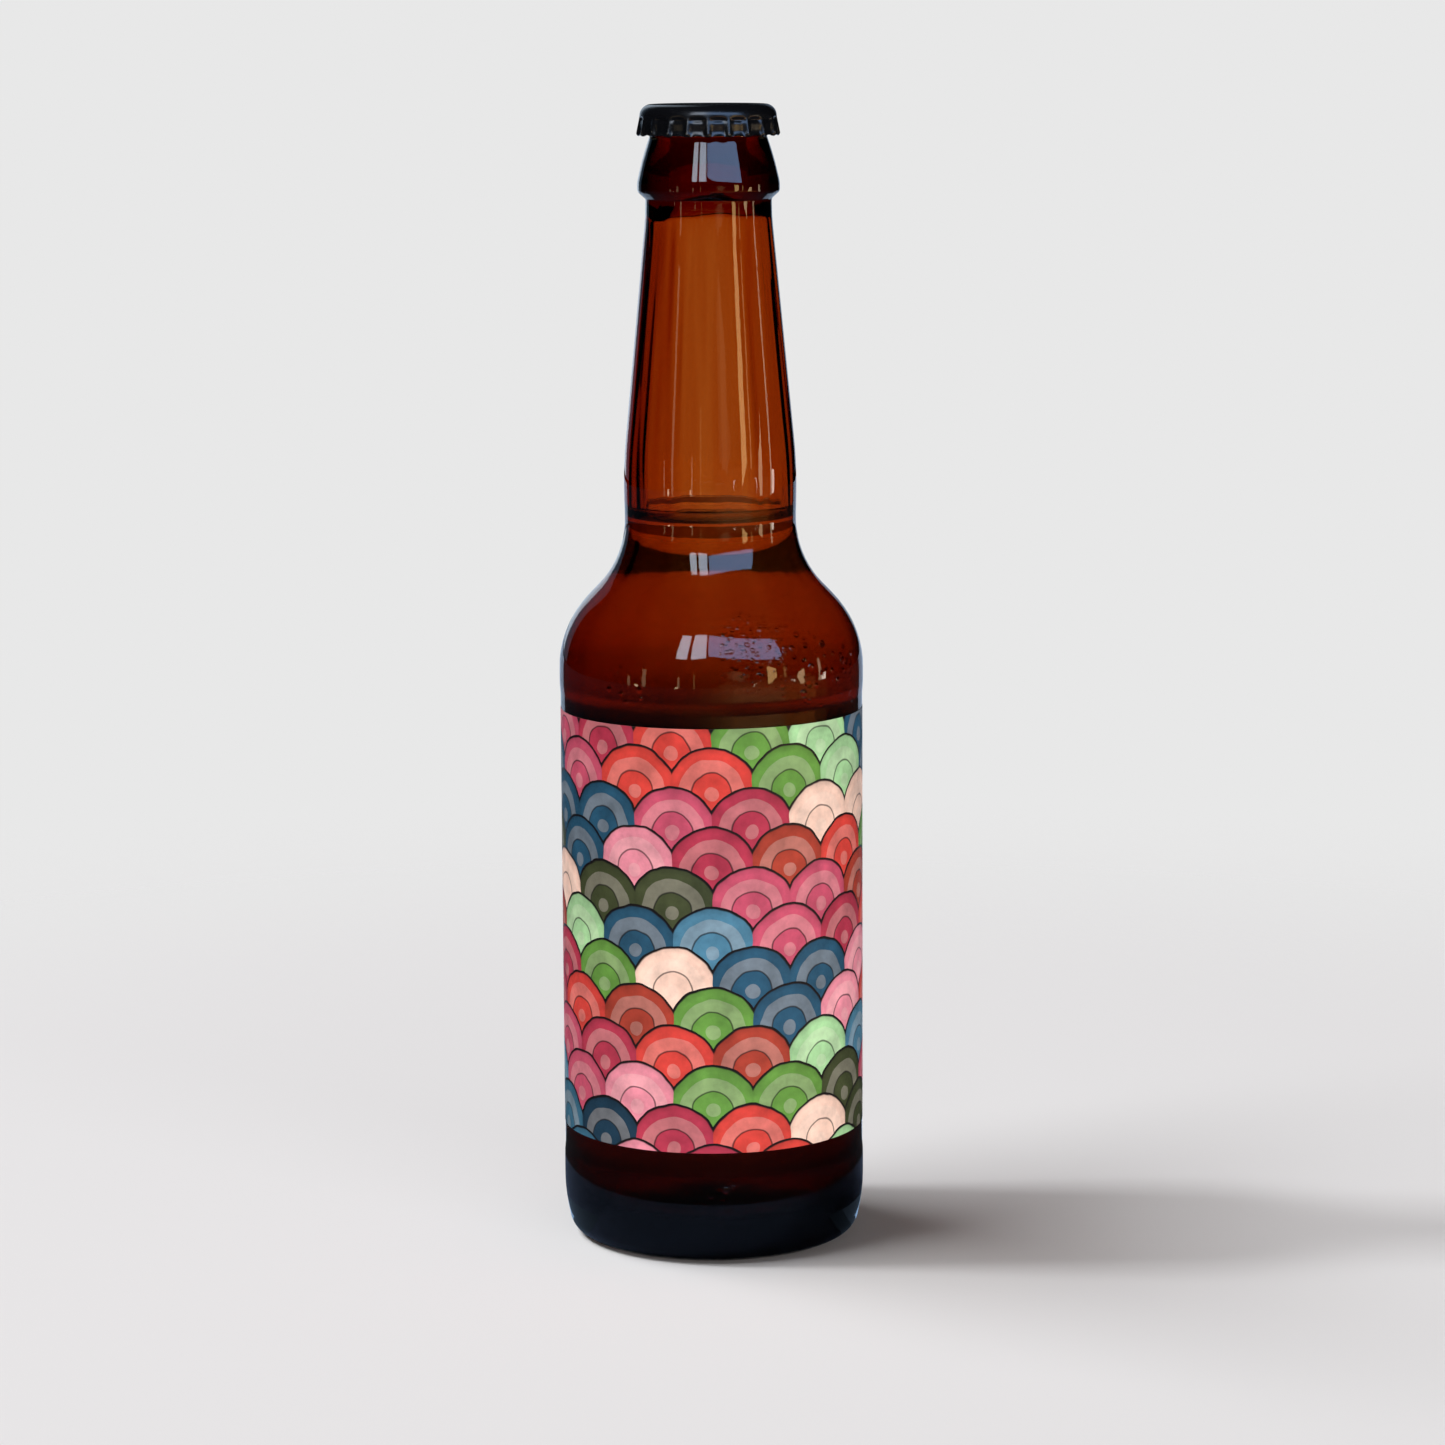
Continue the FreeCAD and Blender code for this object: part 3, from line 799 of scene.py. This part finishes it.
def gold_lacquer():
    """Clear food lacquer on tinplate, inside the cap: a warm gold sheen with fine rolling marks."""
    material, tree = new_material("gold_lacquer")
    place = add(tree, "TexCoord", out="Object")
    rolled = add(tree, "VectorMath", {0: place, 1: ROLL_STRETCH}, operation="MULTIPLY")
    marks = add(tree, "TexNoise", {"Vector": rolled, "Scale": 1 / (ROLL_MARK * MM), "Detail": 3.0})
    rough = add(tree, "MapRange", {"Value": marks, "To Min": 0.24, "To Max": 0.42})
    colour = add(tree, "ValToRGB", {"Fac": marks})
    colour.node.color_ramp.elements[0].color = linear("#B79C5C")
    colour.node.color_ramp.elements[1].color = linear("#D9C48C")
    surface = add(tree, "BsdfPrincipled", {"Base Color": colour, "Metallic": 1.0, "Roughness": rough})
    add(tree, "OutputMaterial", {"Surface": surface})
    return material


def liner_compound():
    """Moulded liner compound: a soft grey-white plastic, matt from its mould, a little marbled."""
    material, tree = new_material("liner_compound")
    place = add(tree, "TexCoord", out="Object")
    marbling = {"Vector": place, "Scale": 1 / (LINER_FLOW * MM), "Detail": 3.0, "Distortion": 0.8}
    flow = add(tree, "TexNoise", marbling)
    colour = add(tree, "ValToRGB", {"Fac": flow})
    colour.node.color_ramp.elements[0].color = linear("#BEBEBA")
    colour.node.color_ramp.elements[1].color = linear("#D8D8D3")
    grain = add(tree, "TexNoise", {"Vector": place, "Scale": 1 / (LINER_GRAIN * MM), "Detail": 2.0})
    bump = add(tree, "Bump", {"Height": grain, "Strength": 0.3, "Distance": 0.02 * MM})
    surface = add(
        tree,
        "BsdfPrincipled",
        {"Base Color": colour, "Roughness": 0.55, "IOR": 1.49, "Normal": bump},
    )
    add(tree, "OutputMaterial", {"Surface": surface})
    return material


def dress_bottle():
    """Every piece of the object, each riding on its body and standing for its CAD node."""
    glue_outer = PANEL_RADIUS + LABEL_GLUE
    paper_inner = glue_outer - LABEL_GLUE / 2
    glass = build_glass(amber_glass())
    drink = build_drink(brown_drink())
    glue = build_band("glue_film", PANEL_RADIUS - WETTING, glue_outer, GLUE_SEAM, 0, label_glue())
    paper = printed_paper()
    label = build_band("printed_label", paper_inner, LABEL_RADIUS, LABEL_SEAM, PAPER_RIPPLE, paper)
    cap = build_cap(black_lacquer(), gold_lacquer())
    liner = lathe("moulded_liner", rounded_line(LINER), LINER_COLUMNS, plain_shape, liner_compound())
    pieces = [
        (glass, "bottle", "glass_bottle", "amber_glass"),
        (drink, "bottle", "drink", "drink"),
        (glue, "bottle", "label_adhesive", "label_adhesive"),
        (label, "bottle", "wrap_label", "label_paper"),
        (cap, "crown", "crown_cap", "cap_lacquer"),
        (liner, "crown", "cap_liner", "cap_liner"),
    ]
    for piece, body, node, slot in pieces:
        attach(piece, body)
        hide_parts(node)


# The studio, in metres and degrees. Azimuth turns from the camera's side of the bottle towards +X.
FLOOR = "#E6E6E6"
FLOOR_RADIUS = 1.6
FLOOR_SIDES = 64
FLOOR_FADE = (0.2, 0.5)
BACKGROUND = "#E8E8E8"
FILL_COLOUR = "#FFD2C4"
FILL = 0.07
AIM = Vector((0, 0, 0.12))

# A black tent that keeps glare off the dark glass, and the cloths on its floor: two radii, two azimuths
# and a colour. Both are seen only in the gloss, so they are painted reflections: the tent paints dark
# reflections, and the cloths are dark, but blue close to the bottle, pale blue behind it, and warm far off
# in front on the right
TENT = "#060606"
TENT_SECTION = [(1.5, 0.0), (1.5, 1.9), (0.0, 1.9)]
SHEET_STEPS = 48
CLOTH_HEIGHT = 0.001
GLOSS_CLOTHS = [
    (0.02, 0.07, -66, 66, "#56637C"),
    (0.04, 0.07, 66, 294, "#4A566C"),
    (0.07, 0.15, -150, 150, "#2A2C30"),
    (0.07, 1.5, 150, 210, "#A8BED8"),
    (0.15, 0.6, -150, 150, "#262A32"),
    (0.6, 1.5, -150, -8, "#262A32"),
    (0.6, 1.5, -8, 0, "#5C4636"),
    (0.6, 1.5, 0, 8, "#8C6444"),
    (0.6, 1.5, 8, 16, "#BC8454"),
    (0.6, 1.5, 16, 56, "#E8A468"),
    (0.6, 1.5, 56, 84, "#F08C44"),
    (0.6, 1.5, 84, 96, "#8C5430"),
    (0.6, 1.5, 96, 150, "#2A2626"),
]
# Cloths that show only through the glass, all the way round, as painted shade on what the glass shows
GLASS_CLOTHS = [
    (0.032, 0.12, -180, 180, "#6A6058"),
    (0.5, 0.9, -180, 180, "#7C6C60"),
]
# Sheets of daylight on the floor close beside and behind the bottle, which light the sides of its heel:
# two radii, two azimuths, a colour and a strength
HEEL_LIGHTS = [
    (0.0275, 0.04, 66, 80, "#B4D4FA", 0.05),
    (0.0275, 0.04, 80, 180, "#B4D4FA", 0.1),
    (0.0275, 0.04, 180, 294, "#B4D4FA", 0.17),
]
# A brighter, glowing card under the bottle's back and behind it, hardly wider than the bottle and seen only
# in the gloss, which paints a thin reflected highlight on the edge of the heel: half its width, its depth,
# height, colour and strength
HEEL_CARD = (0.032, 0.06, 1.1 * CLOTH_HEIGHT, "#A4CCFA", 0.9)

# Light that shows in the gloss: the azimuths of each panel's sides, the elevations of its foot and of its
# top at both sides, its colour and its strength
PANELS_DISTANCE = 1.3
PANEL_STEPS = 12
PANELS = [
    # Panes of a window in front, high up, and the blue sky beside it
    (-28, -19, (23, 23), (48, 48), "#E4EFFF", 7.5),
    (-16, -4, (23, 25), (50, 50), "#DCEBFF", 7.5),
    (-2, 58, (27, 17), (50, 38), "#9CC2F8", 4.8),
    # Warm strips at the height of the neck, which draw its upright streaks
    (-65, -63, (-9, -9), (2, 2), "#FFE0B0", 1.6),
    (-53, -50, (-9, -9), (10, 10), "#FFE0B0", 1.6),
    (-25, -23.5, (-9, -9), (4, 4), "#FFE0B0", 1.8),
    (-13, -12, (-9, -9), (8, 8), "#FFD58A", 1.2),
    (12, 16, (3, 2), (10, 11), "#DDBB80", 0.4),
    (16, 24, (1, -1), (11, 9), "#DDBB80", 0.8),
    (24, 28, (2, 4), (8, 7), "#DDBB80", 0.4),
    (43, 50, (-4, 1), (13, 10), "#FFD58A", 5.5),
    (56, 58, (0, 0), (10, 10), "#FFD58A", 2.4),
    (68, 74, (-4, -9), (3, 6), "#FFDCA8", 5.0),
    (88, 91, (-8, -8), (10, 10), "#FFE8C0", 3.0),
    # The far edge of the warm cloth, which fades upwards
    (6, 84, (-5, -5), (-2, -2), "#FFA860", 0.45),
    (10, 80, (-2, -2), (1, 1), "#FFA860", 0.25),
    # Glints at the foot of the neck
    (-59, -56, (-7, -7), (-4, -4), "#FFE8C0", 7.0),
    (-27, -25, (-6, -6), (-4, -4), "#FFE8C0", 6.0),
    (30, 34, (-5, -5), (-1, -1), "#FFF2E0", 9.0),
    (62, 66, (-5, -5), (-1, -1), "#FFF2E0", 9.0),
    (91, 95, (-5, -5), (-1, -1), "#FFF2E0", 8.0),
    # Sky behind, most of it on the left, which edges the glass
    (-174, -156, (-4, -4), (55, 55), "#D4E6F8", 1.1),
    (-156, -142, (-4, -4), (30, 30), "#8FB0D0", 0.25),
    (164, 176, (-4, -4), (20, 20), "#B8D2F0", 0.5),
]

# The lamps: azimuth, elevation, distance, width and height, watts and colour
LAMPS = [
    ("left_key", -92, 57, 8.0, (8.0, 3.0), 570.0, "#FCFDFF"),
    ("left_spot", -92, 50, 8.0, (1.0, 1.0), 205.0, "#FCFDFF"),
    ("front_fill", 28, 3, 5.0, (4.2, 0.5), 240.0, "#FFFFFF"),
]


def towards(azimuth, elevation):
    """The direction of a place in the studio, seen from the bottle."""
    turn, lift = math.radians(azimuth), math.radians(elevation)
    return Vector((math.sin(turn) * math.cos(lift), -math.cos(turn) * math.cos(lift), math.sin(lift)))


def stage_mesh(name, places, faces, material):
    """A piece of the studio, not of the bottle."""
    mesh = bpy.data.meshes.new(name)
    mesh.from_pydata(places, [], faces)
    mesh.materials.append(material)
    piece = bpy.data.objects.new(name, mesh)
    bpy.context.collection.objects.link(piece)
    return piece


def seen_only_in(piece, sight):
    """Shows a piece in gloss, or through glass, and nowhere else."""
    piece.visible_camera = False
    piece.visible_diffuse = False
    piece.visible_shadow = False
    piece.visible_glossy = sight == "gloss"
    piece.visible_transmission = sight == "glass"


def studio_floor():
    """A pale matt floor that fades into the background."""
    material, tree = new_material("studio_floor")
    place = add(tree, "NewGeometry")
    distance = add(tree, "VectorMath", {0: place}, out=1, operation="LENGTH")
    fade = add(
        tree,
        "MapRange",
        {"Value": distance, "From Min": FLOOR_FADE[0], "From Max": FLOOR_FADE[1]},
        interpolation_type="SMOOTHSTEP",
    )
    matt = add(tree, "BsdfDiffuse", {"Color": linear(FLOOR)})
    clear = add(tree, "BsdfTransparent")
    mixed = add(tree, "MixShader", {0: fade, 1: matt, 2: clear})
    add(tree, "OutputMaterial", {"Surface": mixed})
    turns = [TURN * side / FLOOR_SIDES for side in range(FLOOR_SIDES)]
    rim = [Vector((math.cos(turn), math.sin(turn), 0)) * FLOOR_RADIUS for turn in turns]
    stage_mesh("studio_floor", rim, [tuple(range(FLOOR_SIDES))], material)


def turned_sheet(name, section, left, right, material, sight):
    """A sheet turned about the bottle's axis between two azimuths, for one kind of sight only."""
    rows = len(section)
    places, faces = [], []
    for step in range(SHEET_STEPS + 1):
        across = towards(left + (right - left) * step / SHEET_STEPS, 0)
        places += [across * radius + Vector((0, 0, height)) for radius, height in section]
    for step in range(SHEET_STEPS):
        for row in range(rows - 1):
            corner = step * rows + row
            faces.append((corner, corner + rows, corner + rows + 1, corner + 1))
    seen_only_in(stage_mesh(name, places, faces, material), sight)


def dull_cloth(name, colour):
    """Matt cloth of the studio."""
    material, tree = new_material(name)
    matt = add(tree, "BsdfDiffuse", {"Color": linear(colour)})
    add(tree, "OutputMaterial", {"Surface": matt})
    return material


def black_tent():
    """Black cloth round the bottle and over it, and the cloths on the floor, which paint reflections and
    shade.
    """
    turned_sheet("tent_wall", TENT_SECTION, -180, 180, dull_cloth("tent_cloth", TENT), "gloss")
    for sight, cloths in (("gloss", GLOSS_CLOTHS), ("glass", GLASS_CLOTHS)):
        for number, (inner, outer, left, right, colour) in enumerate(cloths):
            name = f"{sight}_cloth_{number}"
            section = [(inner, CLOTH_HEIGHT), (outer, CLOTH_HEIGHT)]
            turned_sheet(name, section, left, right, dull_cloth(name, colour), sight)


def glowing_sheet(name, colour, strength):
    """A sheet of light."""
    material, tree = new_material(name)
    glow = add(tree, "Emission", {"Color": linear(colour), "Strength": strength})
    add(tree, "OutputMaterial", {"Surface": glow})
    return material


def light_panels():
    """The panels and sheets of light that the glass and the cap reflect."""
    for number, (left, right, lows, highs, colour, strength) in enumerate(PANELS):
        name = f"light_panel_{number}"
        places = []
        for step in range(PANEL_STEPS + 1):
            share = step / PANEL_STEPS
            for start, end in (lows, highs):
                way = towards(left + (right - left) * share, start + (end - start) * share)
                places.append(AIM + way * PANELS_DISTANCE)
        faces = [(i, i + 2, i + 3, i + 1) for i in range(0, 2 * PANEL_STEPS, 2)]
        seen_only_in(stage_mesh(name, places, faces, glowing_sheet(name, colour, strength)), "gloss")
    for number, (inner, outer, left, right, colour, strength) in enumerate(HEEL_LIGHTS):
        name = f"heel_light_{number}"
        section = [(inner, CLOTH_HEIGHT), (outer, CLOTH_HEIGHT)]
        turned_sheet(name, section, left, right, glowing_sheet(name, colour, strength), "gloss")
    half, depth, height, colour, strength = HEEL_CARD
    places = [(-half, 0, height), (half, 0, height), (half, depth, height), (-half, depth, height)]
    card = stage_mesh("heel_card", places, [(0, 1, 2, 3)], glowing_sheet("heel_card", colour, strength))
    seen_only_in(card, "gloss")


def studio_world():
    """A pale background for the eye, the gloss and the glass, and an even fill light for the rest."""
    world = bpy.data.worlds.new("studio")
    bpy.context.scene.world = world
    world.use_nodes = True
    tree = world.node_tree
    tree.nodes.clear()
    path = add(tree, "LightPath").node.outputs
    seen = add(tree, "Math", {0: path["Is Camera Ray"], 1: path["Is Glossy Ray"]}, operation="MAXIMUM")
    seen = add(tree, "Math", {0: seen, 1: path["Is Transmission Ray"]}, operation="MAXIMUM")
    fill = add(tree, "Background", {"Color": linear(FILL_COLOUR), "Strength": FILL})
    backdrop = add(tree, "Background", {"Color": linear(BACKGROUND), "Strength": 1.0})
    mixed = add(tree, "MixShader", {0: seen, 1: fill, 2: backdrop})
    add(tree, "OutputWorld", {"Surface": mixed})


def lamp(name, azimuth, elevation, distance, width, height, watts, colour):
    """A softbox that faces the middle of the bottle."""
    data = bpy.data.lights.new(name, "AREA")
    data.shape = "RECTANGLE"
    data.size = width
    data.size_y = height
    data.energy = watts
    data.color = linear(colour)[:3]
    box = bpy.data.objects.new(name, data)
    bpy.context.collection.objects.link(box)
    way = towards(azimuth, elevation)
    box.location = AIM + way * distance
    box.rotation_euler = way.to_track_quat("Z", "Y").to_euler()
    box.visible_camera = False
    box.visible_glossy = False
    box.visible_transmission = False


def studio_lamps():
    """The left lamps lay a soft and a sharper shadow to the right, and the front lamp lights the label."""
    for name, azimuth, elevation, distance, size, watts, colour in LAMPS:
        lamp(name, azimuth, elevation, distance, *size, watts, colour)


def studio_camera():
    """The photograph's viewpoint: a little above the cap, looking slightly down, with a long lens."""
    data = bpy.data.cameras.new("camera")
    data.sensor_width = SENSOR
    data.lens = FOCAL_PIXELS / PHOTO_SIDE * SENSOR
    camera = bpy.data.objects.new("camera", data)
    bpy.context.collection.objects.link(camera)
    place = Matrix.Translation((CAMERA_ASIDE * MM, -CAMERA_DISTANCE * MM, CAMERA_HEIGHT * MM))
    tilt = Matrix.Rotation(math.pi / 2 - CAMERA_PITCH, 4, "X")
    camera.matrix_world = place @ tilt @ Matrix.Rotation(CAMERA_ROLL, 4, "Z")
    bpy.context.scene.camera = camera


def main():
    """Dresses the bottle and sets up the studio."""
    bpy.context.scene.view_settings.view_transform = "Standard"
    dress_bottle()
    studio_floor()
    black_tent()
    light_panels()
    studio_world()
    studio_lamps()
    studio_camera()
    bpy.context.view_layer.update()


main()
